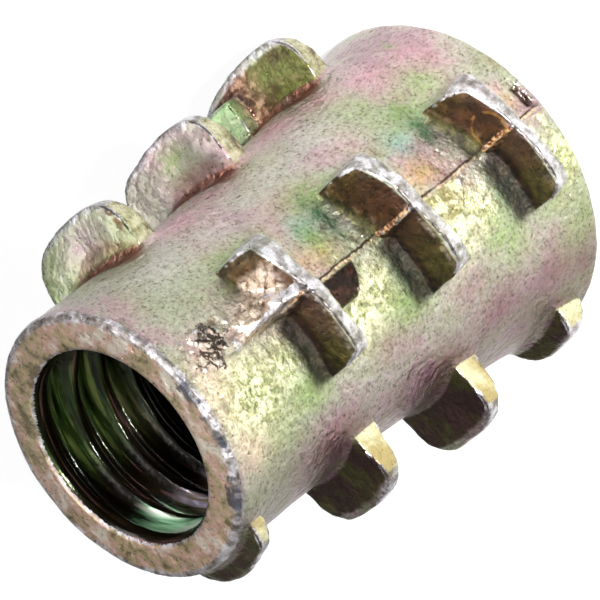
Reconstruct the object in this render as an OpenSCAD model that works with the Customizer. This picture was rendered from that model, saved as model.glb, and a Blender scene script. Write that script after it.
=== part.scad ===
/* [Body] */
// Overall length along the bore
length = 13; // [11:0.5:17]
// Outside diameter of the neck at the threaded mouth
mouth_d = 7; // [6.8:0.1:7.3]
// Outside diameter at the drive end
drive_d = 9; // [8.6:0.1:9.3]
// Length of the straight neck below the mouth
neck = 2.6; // [1.4:0.2:3.8]
// Chamfer of the outer edge at the mouth
mouth_chamfer = 0.1; // [0.05:0.05:0.3]
// Chamfer of the outer edge at the drive end
drive_chamfer = 0.15; // [0.05:0.05:0.3]

/* [Bore] */
// Wall diameter of the bore, the minor diameter of an M6 thread
bore_d = 4.92; // [4.8:0.02:5.1]
// Diameter of the countersink at the mouth
sink_d = 5.2; // [5.2:0.1:5.8]
// Width of the hex socket across its flats
socket_af = 6; // [5.8:0.1:6.2]
// Depth of the hex socket
socket_depth = 4; // [3:0.5:5]
// Width of the chamfer beyond the socket's corners
socket_chamfer = 0.2; // [0.1:0.05:0.3]
// Depth of the chamfer at the socket's opening
socket_sink = 0.4; // [0.2:0.1:0.6]

/* [Fins] */
// Height of the fin helix's start above the drive end
fin_start = 0.88; // [0.8:0.02:1]
// Distance of the fin helix's end below the mouth
fin_end_gap = 1.02; // [0.9:0.02:1.2]
// Diameter over the left and right fins at the mouth end
crest_d_mouth = 9; // [8.7:0.1:9.4]
// Diameter over the left and right fins at the drive end
crest_d_drive = 11.3; // [10.8:0.1:11.6]
// How much lower the front and back fins stand, where the die parts
parting_drop = 0.2; // [0:0.02:0.3]
// Sideways offset between the two die halves, seen in their fin crests
die_offset = 0.1; // [0:0.005:0.2]
// Width of the fins that the parting line crosses
parting_fin_w = 3.6; // [3:0.1:4]
// Reach of the fins along the die's pull, down the helix from the middle of their row
pull_fin_lead = 1.3; // [1:0.1:1.7]
// Reach of the left row's topmost fin up the helix
left_fin_trail = 1.85; // [1.6:0.05:2]
// How much farther each fin of the left row reaches than the one above it
left_fin_growth = 0.3; // [0:0.05:0.4]
// Reach of the right row's fins up the helix
right_fin_trail = 1.7; // [1.3:0.1:2.1]
// Tilt of the left row's fins
tilt_left = 15; // [4:1:16]
// Tilt of the front and back rows' fins
tilt_front = 7.5; // [4:0.5:10]
// Tilt of the right row's fins
tilt_right = 3; // [2:1:10]
// How far the left row sits below the helix
left_drop = 0.32; // [0:0.02:0.4]
// How far the right row sits above the helix
right_rise = 0.06; // [0:0.02:0.2]
// How far the lead-in fin sits above its row
lead_rise = 0.36; // [0.2:0.02:0.46]
// Fin thickness at the body
fin_root = 0.85; // [0.7:0.05:0.95]
// Fin thickness at the crest
fin_crest = 0.36; // [0.28:0.02:0.5]
// Extra thickness at the foot of the front fins, on the left half's mouth side
front_foot = 0.4; // [0.2:0.05:0.5]
// Rounding of the outer corners of the parting-line fins
parting_corner = 0.52; // [0.26:0.02:0.8]
// Rounding of the outer corners of the right row's fins
right_corner = 0.78; // [0.4:0.02:0.9]
// Rounding of the outer corners of the left row's fins
left_corner = 0.94; // [0.5:0.02:1.1]
// Crest height and thickness of the first lead-in fin, as a share of a full fin
lead_first = 0.6; // [0.5:0.05:0.8]
// Crest height of the second lead-in fin, as a share of a full fin
lead_second = 0.9; // [0.7:0.05:1]
// Height of the last fin at the drive end, as a share of a full fin
tail_share = 0.5; // [0.4:0.05:1]
// Lower reach of the last fin at the drive end, as a share of a full fin
tail_reach = 0.6; // [0.4:0.05:1]

/* [Casting marks] */
// Thickness of the gate web
web_w = 0.6; // [0.4:0.1:0.8]
// Distance of the gate stub from the mouth
stub_gap = 0.6; // [0.4:0.1:0.8]
// Length of the gate stub
stub_l = 1.3; // [0.9:0.1:1.6]
// Width of the gate stub
stub_w = 1; // [0.8:0.1:1.3]
// Height of the gate stub above the neck
stub_h = 0.16; // [0.1:0.02:0.26]
// Width of the pads behind the front fins
pad_w = 0.75; // [0.5:0.05:0.9]
// Length of the pads, measured from the middle of their fin
pad_l = 1.8; // [1.5:0.1:2]
// Height of the pads above the body
pad_h = 0.1; // [0.06:0.02:0.16]
// Width of the lump on the lowest left fin
lump_w = 1.7; // [1.3:0.05:1.9]
// Height of the lump above the body
lump_h = 0.85; // [0.6:0.05:1]
// How far the lump stands out from the fin's face
lump_t = 0.5; // [0.3:0.05:0.7]

/* [Hidden] */
$fn = 96;
eps = 0.03;
zinc = [0.72, 0.66, 0.5];

mouth_r = mouth_d / 2;
drive_r = drive_d / 2;
bore_r = bore_d / 2;
sink_r = sink_d / 2;
socket_r = socket_af / 2 / cos(30);
socket_in_r = socket_af / 2;
// Radius inside the wall where the added forms begin
inner_r = (bore_r + mouth_r) / 2;

// The flare is an arc that leaves the neck at a tangent and reaches the drive end's radius
flare_l = length - neck;
flare_rise = drive_r - mouth_r;
flare_r = (flare_l * flare_l + flare_rise * flare_rise) / (2 * flare_rise);
// Number of conical bands that follow the arc
flare_bands = 10;
function body_r(z) = z > flare_l ? mouth_r
    : mouth_r + flare_r - sqrt(flare_r * flare_r - pow(flare_l - z, 2));
function band_z(k) = flare_l * k / flare_bands;

// Fins stand a quarter turn apart, from the lowest one up to the lead-in fin at the mouth
rows = 4;
row_step = 360 / rows;
fin_turns = 3;
fin_count = fin_turns * rows + 1;
fin_step = (length - fin_start - fin_end_gap) / (fin_count - 1);
right = 0;
front = 1;
left = 2;
last_angle = 180;
function row(i) = i % rows;
function turns_below(i) = floor((fin_count - 1 - i) / rows);
function along_pull(i) = i % 2 == 0;
function fin_z(i) = fin_start + i * fin_step
    + (row(i) == left ? -left_drop : row(i) == right ? right_rise : 0)
    + (i == fin_count - 1 ? lead_rise : 0);
function tilt(i) = row(i) == left ? tilt_left : row(i) == right ? tilt_right : tilt_front;
function full_crest_r(i) = (crest_d_drive + (crest_d_mouth - crest_d_drive) * fin_z(i) / length) / 2
    + (row(i) == left ? die_offset : row(i) == right ? -die_offset : -parting_drop);
function crest_share(i) = i == fin_count - 1 ? lead_first
    : i == fin_count - 2 ? lead_second
    : i == 0 ? tail_share
    : 1;
function root_r(i) = body_r(fin_z(i));
function crest_r(i) = root_r(i) + (full_crest_r(i) - root_r(i)) * crest_share(i);
function fin_low(i) = along_pull(i) ? -pull_fin_lead * (i == 0 ? tail_reach : 1) : -parting_fin_w / 2;
function fin_high(i) = row(i) == left ? left_fin_trail + left_fin_growth * turns_below(i)
    : row(i) == right ? right_fin_trail
    : parting_fin_w / 2;
function fin_corner(i) = row(i) == left ? left_corner : row(i) == right ? right_corner : parting_corner;
function thick_share(i) = i == fin_count - 1 ? lead_first : 1;

// The front row carries the gate web and the pads
front_angle = 270;
front_fins = [front, front + rows, front + 2 * rows];
gated_fin = front_fins[2];

// Half of the body's section, grown outwards by grow
module body_section(grow = 0) {
  difference() {
    polygon([
      [0, 0],
      for (k = [0 : flare_bands]) [body_r(band_z(k)) + grow, band_z(k)],
      [mouth_r + grow, length],
      [0, length]
    ]);
    translate([mouth_r + grow, length])
      edge_cut(mouth_chamfer);
    translate([drive_r + grow, 0])
      edge_cut(drive_chamfer);
  }
}

// Takes a corner down by a chamfer of width c
module edge_cut(c) {
  rotate(45)
    square(c * sqrt(2), center = true);
}

// Turned body, with its seam halfway between two rows of fins
module shell() {
  rotate([0, 0, row_step / 2])
    rotate_extrude()
      body_section();
}

// Face of a fin, seen along the bore: crest arc of radius cr, straight sides, corners of radius c
module fin_outline(cr, low_side, high_side, c) {
  low = low_side + c;
  high = high_side - c;
  low_x = sqrt(pow(cr - c, 2) - low * low);
  high_x = sqrt(pow(cr - c, 2) - high * high);
  far = 2 * cr;
  intersection() {
    circle(cr);
    polygon([[0, 0], [far, far * low / low_x], [far, far * high / high_x]]);
  }
  polygon([
    [0, low_side], [low_x, low_side], [low_x, low],
    [high_x, high], [high_x, high_side], [0, high_side]
  ]);
  translate([low_x, low])
    circle(c);
  translate([high_x, high])
    circle(c);
}

// Section of fin i along its height, thicker at the foot by foot on the mouth side
module fin_section(i, foot = 0) {
  root = fin_root / 2 * thick_share(i);
  crest = fin_crest / 2 * thick_share(i);
  top = crest_r(i) + eps;
  polygon([
    [inner_r, -root], [root_r(i), -root], [top, -crest],
    [top, crest], [root_r(i), root + foot], [inner_r, root + foot]
  ]);
}

// Fin number i on the +X side, tapering to its crest and tilted along the helix
module fin(i) {
  rotate([tilt(i), 0, 0])
    intersection() {
      translate([0, 0, -fin_root])
        linear_extrude(2 * fin_root)
          fin_outline(crest_r(i), fin_low(i), fin_high(i), fin_corner(i));
      union() {
        fin_slice(mouth_d)
          fin_section(i);
        if (row(i) == front)
          translate([0, mouth_r, 0])
            fin_slice(mouth_d)
              fin_section(i, front_foot);
      }
    }
}

// Stands a fin's section up, with width w shared between the two sides of the row's middle
module fin_slice(w) {
  translate([0, w / 2, 0])
    rotate([90, 0, 0])
      linear_extrude(w)
        children();
}

// Lump on the mouth side of the lowest left fin, at the end that lies up the helix
module lump() {
  translate([0, 0, fin_z(left)])
    rotate([tilt(left), 0, last_angle + left * row_step])
      translate([inner_r, fin_high(left) - lump_w, 0])
        cube([root_r(left) + lump_h - inner_r, lump_w, fin_root / 2 + lump_t]);
}

module fins() {
  for (i = [0 : fin_count - 1])
    translate([0, 0, fin_z(i)])
      rotate([0, 0, last_angle + i * row_step])
        fin(i);
}

// Web between the gate and the front fin nearest the mouth, on one side of the parting plane
module gate_web() {
  top = length - stub_gap;
  fin_top = fin_z(gated_fin);
  rotate([0, 0, front_angle])
    translate([0, web_w, 0])
      rotate([90, 0, 0])
        linear_extrude(web_w)
          polygon([
            [inner_r, fin_top], [crest_r(gated_fin) - fin_crest / 2, fin_top],
            [mouth_r + stub_h, top - stub_l], [mouth_r + stub_h, top], [inner_r, top]
          ]);
}

// Low block left where the gate broke off
module gate_stub() {
  rotate([0, 0, front_angle])
    translate([inner_r, 0, length - stub_gap - stub_l])
      cube([mouth_r + stub_h - inner_r, stub_w, stub_l]);
}

// Round-ended pads that follow the body's flare
module pads() {
  intersection() {
    rotate_extrude()
      body_section(pad_h);
    for (i = front_fins)
      rotate([0, 0, front_angle])
        rotate([90, 0, 90])
          translate([0, 0, inner_r])
            linear_extrude(drive_r)
              translate([0, fin_z(i)])
                pad_outline();
  }
}

module pad_outline() {
  translate([-pad_w, pad_w - pad_l])
    square([pad_w, pad_l - pad_w]);
  intersection() {
    translate([0, pad_w - pad_l])
      circle(pad_w);
    translate([-pad_w, -pad_l])
      square([pad_w, pad_w]);
  }
}

module hollow() {
  translate([0, 0, -eps])
    cylinder(r = bore_r, h = length + 2 * eps);
  translate([0, 0, length - (sink_r - bore_r)])
    cylinder(r1 = bore_r, r2 = sink_r + eps, h = sink_r - bore_r + eps);
  translate([0, 0, -eps])
    cylinder(r = socket_r, h = socket_depth + eps, $fn = 6);
  translate([0, 0, socket_depth - eps])
    cylinder(r1 = socket_in_r, r2 = bore_r, h = socket_in_r - bore_r);
  translate([0, 0, -eps])
    cylinder(r1 = socket_r + socket_chamfer, r2 = socket_in_r, h = socket_sink);
}

module insert_body() {
  color(zinc)
    difference() {
      union() {
        shell();
        fins();
        lump();
        gate_web();
        gate_stub();
        pads();
      }
      hollow();
    }
}

insert_body();
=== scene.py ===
import math
from types import SimpleNamespace
import bpy
import numpy as np
from mathutils import Matrix, Vector


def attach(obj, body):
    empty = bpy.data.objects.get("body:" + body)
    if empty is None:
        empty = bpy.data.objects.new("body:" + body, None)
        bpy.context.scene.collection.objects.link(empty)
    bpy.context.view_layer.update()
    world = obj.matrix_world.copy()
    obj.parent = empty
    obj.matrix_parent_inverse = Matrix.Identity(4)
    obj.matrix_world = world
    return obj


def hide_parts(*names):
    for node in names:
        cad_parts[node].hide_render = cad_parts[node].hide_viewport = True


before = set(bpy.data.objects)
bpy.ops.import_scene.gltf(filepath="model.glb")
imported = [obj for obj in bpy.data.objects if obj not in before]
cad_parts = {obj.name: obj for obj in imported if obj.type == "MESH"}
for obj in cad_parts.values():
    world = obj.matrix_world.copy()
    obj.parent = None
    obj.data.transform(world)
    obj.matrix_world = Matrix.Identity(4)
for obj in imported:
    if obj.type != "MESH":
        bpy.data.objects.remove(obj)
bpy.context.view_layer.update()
print("frame loaded")

scene = bpy.context.scene
scene.view_settings.view_transform = "Standard"
mm = 0.001  # the casting is worked in millimetres and brought to metres at the end


def linkObject(name, mesh):
    made = bpy.data.objects.new(name, mesh)
    scene.collection.objects.link(made)
    return made


# camera at the photograph's angle, a long lens looking down on the mouth

cameraSet = {
    "place": (-0.000896, -0.074059, 0.066237),
    "right": (-0.630499, -0.484251, -0.606605),
    "up": (0.776123, -0.403556, -0.484537),
    "back": (-0.010162, -0.776301, 0.630281),
    "lens": 240.0,
}


def makeCamera():
    lens = bpy.data.cameras.new("viewCamera")
    lens.lens = cameraSet["lens"]
    lens.sensor_width = 36.0
    lens.clip_start, lens.clip_end = 0.001, 10.0
    camera = linkObject("viewCamera", lens)
    turn = Matrix((cameraSet["right"], cameraSet["up"], cameraSet["back"])).transposed()
    camera.matrix_world = Matrix.Translation(cameraSet["place"]) @ turn.to_4x4()
    scene.camera = camera


makeCamera()
print("camera set")


# mesh helpers


def ringMesh(name, points):
    # points[row, column], closed along the rows and around the columns
    rows, columns = points.shape[:2]
    a = np.arange(rows)[:, None]
    b = (a + 1) % rows
    c = np.arange(columns)[None, :]
    d = (c + 1) % columns
    corners = [a * columns + c, a * columns + d, b * columns + d, b * columns + c]
    return plainMesh(name, points.reshape(-1, 3), np.stack(corners, -1).reshape(-1, 4))


def plainMesh(name, points, faces):
    mesh = bpy.data.meshes.new(name)
    if isinstance(faces, np.ndarray):
        count, corners = faces.shape
        mesh.vertices.add(len(points))
        mesh.vertices.foreach_set("co", np.asarray(points, np.float32).ravel())
        mesh.loops.add(count * corners)
        mesh.loops.foreach_set("vertex_index", faces.astype(np.int32).ravel())
        mesh.polygons.add(count)
        mesh.polygons.foreach_set("loop_start", np.arange(0, count * corners, corners, dtype=np.int32))
        mesh.update(calc_edges=True)
    else:
        mesh.from_pydata([tuple(p) for p in points], [], faces)
    mesh.validate()
    return mesh


def pointsOf(mesh):
    flat = np.empty(len(mesh.vertices) * 3, np.float32)
    mesh.vertices.foreach_get("co", flat)
    return flat.reshape(-1, 3).astype(np.float64)


def setPoints(mesh, points):
    mesh.vertices.foreach_set("co", points.astype(np.float32).ravel())
    mesh.update()


def normalsOf(mesh):
    flat = np.empty(len(mesh.vertices) * 3, np.float32)
    mesh.vertex_normals.foreach_get("vector", flat)
    return flat.reshape(-1, 3).astype(np.float64)


def edgesOf(mesh):
    flat = np.empty(len(mesh.edges) * 2, np.int32)
    mesh.edges.foreach_get("vertices", flat)
    return flat.reshape(-1, 2)


def evaluatedMesh(item, name):
    graph = bpy.context.evaluated_depsgraph_get()
    mesh = bpy.data.meshes.new_from_object(item.evaluated_get(graph))
    mesh.name = name
    return mesh


def smoothStep(low, high, x):
    t = np.clip((x - low) / (high - low), 0.0, 1.0)
    return t * t * (3.0 - 2.0 * t)


def window(x, low, high, soft):
    # 1 between low and high, falling away over soft on both sides
    return smoothStep(low - soft, low + soft, x) * (1.0 - smoothStep(high - soft, high + soft, x))


latticeKeys = np.array((73856093, 19349663, 83492791))  # mix a cell's place into one number
seedKey = 2654435761


def valueNoise(points, size, seed):
    # smooth lattice noise from -1 to 1, the same on every run
    p = points / size
    base = np.floor(p).astype(np.int64)
    part = p - base
    part = part * part * (3.0 - 2.0 * part)
    total = np.zeros(len(p))
    for corner in range(8):
        step = np.array([corner & 1, corner >> 1 & 1, corner >> 2 & 1])
        keyed = (base + step) * latticeKeys
        mixed = keyed[:, 0] ^ keyed[:, 1] ^ keyed[:, 2] ^ (seed * seedKey)
        mixed = (mixed ^ (mixed >> 13)) * 1274126177
        mixed = mixed ^ (mixed >> 16)
        share = np.prod(np.where(step == 1, part, 1.0 - part), axis=1)
        total += share * ((mixed & 65535) / 32767.5 - 1.0)
    return total


# body: a flared tube with the threaded mouth up and the hex socket below

bodyForm = {
    "length": 13.0,
    "mouthR": 3.5,
    "driveR": 4.5,
    "neck": 2.6,
    "mouthRound": 0.14,
    "driveRound": 0.22,
    "boreR": 2.46,
    "lipR": 2.56,
    "lipRound": 0.06,
    "rootR": 3.0,  # of the thread
    "lipDepth": 0.42,
    "runOut": 0.3,  # slope from the lip to the thread's root
    "rootEnd": 1.0,  # above the socket
    "shoulder": (0.6, 0.25),  # bare bore above the socket, from and to
    "socketFlats": 6.0,
    "socketDepth": 4.0,
    "socketSink": 0.4,
    "socketFlare": 0.2,
    "columns": 440,
    "sideRows": 170,
    "boreRows": 60,
    "socketRows": 50,
    "faceRows": 12,
    "cornerRows": 7,
}
flareLength = bodyForm["length"] - bodyForm["neck"]
flareRise = bodyForm["driveR"] - bodyForm["mouthR"]
flareRadius = (flareLength**2 + flareRise**2) / (2 * flareRise)


def bodyRadius(z):
    below = np.maximum(flareLength - z, 0.0)
    return bodyForm["mouthR"] + flareRadius - np.sqrt(flareRadius**2 - below**2)


def bodySection():
    # one loop of (radius, height) round the wall: outside up, mouth face, bore down, drive face
    form = bodyForm
    top, low = form["length"], form["driveRound"]
    threadTop, threadLow = top - form["lipDepth"] - form["runOut"], form["socketDepth"] + form["rootEnd"]
    turn = np.linspace(0.0, math.pi / 2, form["cornerRows"])
    loop = []
    for t in turn:
        loop.append((bodyRadius(low) - low + low * math.sin(t), low - low * math.cos(t)))
    for z in np.linspace(low, top - form["mouthRound"], form["sideRows"])[1:-1]:
        loop.append((float(bodyRadius(z)), z))
    for t in turn:
        r = form["mouthRound"]
        loop.append((form["mouthR"] - r + r * math.cos(t), top - r + r * math.sin(t)))
    faceFrom, faceTo = form["mouthR"] - form["mouthRound"], form["lipR"] + form["lipRound"]
    for r in np.linspace(faceFrom, faceTo, form["faceRows"])[1:]:
        loop.append((r, top))
    loop.append((form["lipR"] + 0.01, top - 0.05))
    loop.append((form["boreR"] + 0.04, top - 0.14))
    loop.append((form["boreR"], top - form["lipDepth"]))
    for z in np.linspace(threadTop, threadLow, form["boreRows"]):
        loop.append((form["rootR"], z))
    for rise in form["shoulder"]:
        loop.append((form["boreR"], form["socketDepth"] + rise))
    return loop


def makeBody():
    form = bodyForm
    columns = form["columns"]
    angle = np.arange(columns) * 2 * math.pi / columns
    around = np.stack([np.cos(angle), np.sin(angle)], -1)
    rings = []
    for r, z in bodySection():
        ring = np.empty((columns, 3))
        ring[:, :2] = around * r
        ring[:, 2] = z
        rings.append(ring)
    sixth = (angle + math.pi / 6) % (math.pi / 3) - math.pi / 6  # corners on the X axis
    flat = form["socketFlats"] / 2
    hexR = flat / np.cos(math.pi / 6 - np.abs(sixth))
    wide = flat / math.cos(math.pi / 6) + form["socketFlare"]
    for z in np.linspace(form["socketDepth"], 0.0, form["socketRows"]):
        cone = wide - z * (wide - flat) / form["socketSink"]
        ring = np.empty((columns, 3))
        ring[:, :2] = around * np.maximum(hexR, cone)[:, None]
        ring[:, 2] = z
        rings.append(ring)
    return linkObject("bodyTube", ringMesh("bodyTube", np.array(rings)))


bodyTube = makeBody()
print("body turned")


# geometry node helpers


def newTree(name, form):
    # one input for each of the piece's values
    tree = bpy.data.node_groups.new(name, "GeometryNodeTree")
    tree.interface.new_socket("Geometry", in_out="INPUT", socket_type="NodeSocketGeometry")
    for label, value in form.items():
        kind = "NodeSocketInt" if isinstance(value, int) else "NodeSocketFloat"
        tree.interface.new_socket(label, in_out="INPUT", socket_type=kind)
    tree.interface.new_socket("Geometry", in_out="OUTPUT", socket_type="NodeSocketGeometry")
    return tree, tree.nodes.new("NodeGroupInput"), tree.nodes.new("NodeGroupOutput")


def addNode(tree, kind, links=(), **settings):
    made = tree.nodes.new(kind)
    for key, value in settings.items():
        setattr(made, key, value)
    for socket, value in links:
        feed(tree, made.inputs[socket], value)
    return made


def feed(tree, socket, value):
    if isinstance(value, bpy.types.NodeSocket):
        tree.links.new(value, socket)
    else:
        socket.default_value = value


def calc(tree, operation, *values):
    made = tree.nodes.new("ShaderNodeMath")
    made.operation = operation
    for socket, value in zip(made.inputs, values):
        feed(tree, socket, value)
    return made.outputs[0]


def treeMesh(name, tree, values):
    holder = linkObject(name, bpy.data.meshes.new(name + "Base"))
    maker = holder.modifiers.new("maker", "NODES")
    maker.node_group = tree
    sockets = {s.name: s.identifier for s in tree.interface.items_tree if s.in_out == "INPUT"}
    for label, value in values.items():
        maker[sockets[label]] = value
    mesh = evaluatedMesh(holder, name)
    holder.modifiers.remove(maker)
    holder.data = mesh
    return holder


castFinish = bpy.data.materials.new("yellowChromate")


def endTree(tree, last, out):
    real = addNode(tree, "GeometryNodeRealizeInstances", [("Geometry", last.outputs[0])])
    finish = addNode(tree, "GeometryNodeSetMaterial", [("Geometry", real.outputs[0]), ("Material", castFinish)])
    tree.links.new(finish.outputs[0], out.inputs[0])


# fins: four rows of cast paddles, a quarter turn apart on a right-hand helix

finHelix = {
    "Fin Count": 13,
    "Start Height": 0.88,
    "Step": 0.925,
    "Left Drop": 0.32,
    "Right Rise": 0.06,
    "Lead Rise": 0.36,  # of the lead-in fin at the mouth
    "Left Tilt": math.radians(15.0),
    "Front Tilt": math.radians(7.5),
    "Right Tilt": math.radians(3.0),
}
finForm = {
    "root": 0.85,  # thickness at the body
    "crest": 0.36,
    "foot": 0.4,  # extra thickness low on the left half of the front fins
    "innerR": 3.2,
    "crestMouth": 4.5,
    "crestDrive": 5.65,
    "shares": {12: 0.6, 11: 0.9, 0: 0.5},  # fins that stand lower than the rest
    "rows": ("right", "front", "left", "back"),
    "lift": {"right": -0.1, "front": -0.2, "left": 0.1, "back": -0.2},
    "low": {"right": -1.3, "front": -1.8, "left": -1.3, "back": -1.8},  # reach down the helix
    "high": {"right": 1.7, "front": 1.8, "left": 1.85, "back": 1.8},  # reach up the helix
    "growth": 0.3,  # of the left row's reach from one fin to the one below
    "tailReach": 0.6,
    "corner": {"right": 0.78, "front": 0.52, "left": 0.94, "back": 0.52},
    "leadThick": 0.6,  # the lead-in fin is thinner by this
}
leadFin = finHelix["Fin Count"] - 1


def listFins():
    fins = []
    tilts = {"left": finHelix["Left Tilt"], "right": finHelix["Right Tilt"]}
    shifts = {"left": -finHelix["Left Drop"], "right": finHelix["Right Rise"]}
    for i in range(finHelix["Fin Count"]):
        row = finForm["rows"][i % 4]
        z = finHelix["Start Height"] + i * finHelix["Step"]
        z += shifts.get(row, 0.0)
        z += finHelix["Lead Rise"] if i == leadFin else 0.0
        rootR = float(bodyRadius(z))
        full = finForm["crestDrive"]
        full += (finForm["crestMouth"] - finForm["crestDrive"]) * z / bodyForm["length"]
        full += finForm["lift"][row]
        longer = finForm["growth"] * ((leadFin - i) // 4) if row == "left" else 0.0
        fins.append({
            "row": row,
            "z": z,
            "angle": math.pi + i * math.pi / 2,
            "tilt": tilts.get(row, finHelix["Front Tilt"]),
            "rootR": rootR,
            "crestR": rootR + (full - rootR) * finForm["shares"].get(i, 1.0),
            "low": finForm["low"][row] * (finForm["tailReach"] if i == 0 else 1.0),
            "high": finForm["high"][row] + longer,
            "corner": finForm["corner"][row],
            "thick": finForm["leadThick"] if i == leadFin else 1.0,
        })
    return fins


finList = listFins()


def paddle(number, fin):
    # outline in the fin's own plane: X out from the bore, Y along the helix
    crestR, corner, low, high = fin["crestR"], fin["corner"], fin["low"], fin["high"]
    inner = crestR - corner
    lowAt = math.asin((low + corner) / inner)
    highAt = math.asin((high - corner) / inner)

    def cornerPoint(at, t):
        return inner * math.cos(at) + corner * math.cos(t), inner * math.sin(at) + corner * math.sin(t)

    outline = [cornerPoint(lowAt, t) for t in np.linspace(-math.pi / 2, lowAt, 9)]
    for t in np.linspace(lowAt, highAt, 22)[1:-1]:
        outline.append((crestR * math.cos(t), crestR * math.sin(t)))
    outline += [cornerPoint(highAt, t) for t in np.linspace(highAt, math.pi / 2, 9)]
    for y in np.linspace(high, low, 12):
        outline.append((math.sqrt(finForm["innerR"] ** 2 - y * y), y))
    outline = np.array(outline)
    share = np.clip((outline[:, 0] - fin["rootR"]) / (crestR - fin["rootR"]), 0.0, 1.0)
    half = fin["thick"] * (finForm["root"] + (finForm["crest"] - finForm["root"]) * share) / 2
    points, faces = slab(outline, half, -half, 0)
    if fin["row"] == "front":
        keep = outline[:, 1] > 0.0
        foot = np.vstack([[crestR, 0.0], outline[keep], [finForm["innerR"], 0.0]])
        share = np.clip((foot[:, 0] - fin["rootR"]) / (crestR - fin["rootR"]), 0.0, 1.0)
        half = (finForm["root"] + (finForm["crest"] - finForm["root"]) * share) / 2
        more, extra = slab(foot, half + finForm["foot"] * (1.0 - share), -0.5 * half, len(points))
        points, faces = np.vstack([points, more]), faces + extra
    name = "finShape%02d" % number
    return linkObject(name, plainMesh(name, points, faces))


def slab(outline, top, bottom, start):
    # closed plate over an outline, with its own height at every corner
    count = len(outline)
    points = np.concatenate([np.c_[outline, top], np.c_[outline, bottom]])
    upper = [start + k for k in range(count)]
    lower = [start + count + k for k in range(count)]
    faces = [upper, lower[::-1]]
    for k in range(count):
        n = (k + 1) % count
        faces.append([upper[k], lower[k], lower[n], upper[n]])
    return points, faces


def finTree(shapes):
    tree, given, out = newTree("finHelix", finHelix)
    value = given.outputs
    line = addNode(tree, "GeometryNodeMeshLine", [("Count", value["Fin Count"])])
    index = addNode(tree, "GeometryNodeInputIndex").outputs[0]
    row = calc(tree, "MODULO", index, 4.0)
    isRight = calc(tree, "COMPARE", row, 0.0, 0.1)
    isLeft = calc(tree, "COMPARE", row, 2.0, 0.1)
    isParting = calc(tree, "SUBTRACT", 1.0, calc(tree, "ADD", isRight, isLeft))
    isLead = calc(tree, "COMPARE", index, calc(tree, "SUBTRACT", value["Fin Count"], 1.0), 0.1)
    height = calc(tree, "MULTIPLY_ADD", index, value["Step"], value["Start Height"])
    height = calc(tree, "SUBTRACT", height, calc(tree, "MULTIPLY", isLeft, value["Left Drop"]))
    height = calc(tree, "MULTIPLY_ADD", isRight, value["Right Rise"], height)
    height = calc(tree, "MULTIPLY_ADD", isLead, value["Lead Rise"], height)
    place = addNode(tree, "ShaderNodeCombineXYZ", [("X", 0.0), ("Y", 0.0), ("Z", height)])
    tilt = calc(tree, "MULTIPLY", isParting, value["Front Tilt"])
    tilt = calc(tree, "MULTIPLY_ADD", isLeft, value["Left Tilt"], tilt)
    tilt = calc(tree, "MULTIPLY_ADD", isRight, value["Right Tilt"], tilt)
    angle = calc(tree, "MULTIPLY_ADD", index, math.pi / 2, math.pi)
    turn = addNode(tree, "ShaderNodeCombineXYZ", [("X", tilt), ("Y", 0.0), ("Z", angle)])
    placed = addNode(tree, "GeometryNodeSetPosition", [
        ("Geometry", line.outputs[0]),
        ("Position", place.outputs[0]),
    ])
    joined = addNode(tree, "GeometryNodeJoinGeometry")
    for shape in reversed(shapes):  # the last link comes first in the joined list
        info = addNode(tree, "GeometryNodeObjectInfo", [("Object", shape), ("As Instance", True)])
        tree.links.new(info.outputs["Geometry"], joined.inputs[0])
    dealt = addNode(tree, "GeometryNodeInstanceOnPoints", [
        ("Points", placed.outputs[0]),
        ("Instance", joined.outputs[0]),
        ("Pick Instance", True),
        ("Instance Index", index),
        ("Rotation", turn.outputs[0]),
    ])
    endTree(tree, dealt, out)
    return tree


finShapes = [paddle(number, fin) for number, fin in enumerate(finList)]
bpy.context.view_layer.update()
finSet = treeMesh("finSet", finTree(finShapes), finHelix)
print("fins set:", len(finSet.data.vertices), "points")


# thread: one ridge wound up the bore

threadForm = {
    "Pitch": 1.0,
    "Bottom": 4.45,
    "Top": 12.36,
    "Crest Radius": 2.46,
    "Depth": 0.66,
    "Root Width": 0.98,
    "Crest Width": 0.2,
    "Steps Per Turn": 96,
}


def threadTree():
    tree, given, out = newTree("threadRidge", threadForm)
    value = given.outputs
    reach = calc(tree, "SUBTRACT", value["Top"], value["Bottom"])
    turns = calc(tree, "DIVIDE", reach, value["Pitch"])
    middle = calc(tree, "MULTIPLY_ADD", value["Depth"], 0.5, value["Crest Radius"])
    path = addNode(tree, "GeometryNodeCurveSpiral", [
        ("Resolution", value["Steps Per Turn"]),
        ("Rotations", turns),
        ("Start Radius", middle),
        ("End Radius", middle),
        ("Height", reach),
        ("Reverse", True),
    ])
    upright = addNode(tree, "GeometryNodeSetCurveNormal", [("Curve", path.outputs[0])], mode="Z_UP")
    ridge = addNode(tree, "GeometryNodeCurvePrimitiveQuadrilateral", [
        ("Height", value["Depth"]),
        ("Bottom Width", value["Root Width"]),
        ("Top Width", value["Crest Width"]),
        ("Offset", 0.0),
    ], mode="TRAPEZOID")
    inward = addNode(tree, "GeometryNodeTransform", [
        ("Geometry", ridge.outputs[0]),
        ("Rotation", (0.0, 0.0, math.pi / 2)),
    ])
    swept = addNode(tree, "GeometryNodeCurveToMesh", [
        ("Curve", upright.outputs[0]),
        ("Profile Curve", inward.outputs[0]),
        ("Fill Caps", True),
    ])
    lift = addNode(tree, "ShaderNodeCombineXYZ", [("X", 0.0), ("Y", 0.0), ("Z", value["Bottom"])])
    raised = addNode(tree, "GeometryNodeTransform", [
        ("Geometry", swept.outputs[0]),
        ("Translation", lift.outputs[0]),
    ])
    endTree(tree, raised, out)
    return tree


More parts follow.
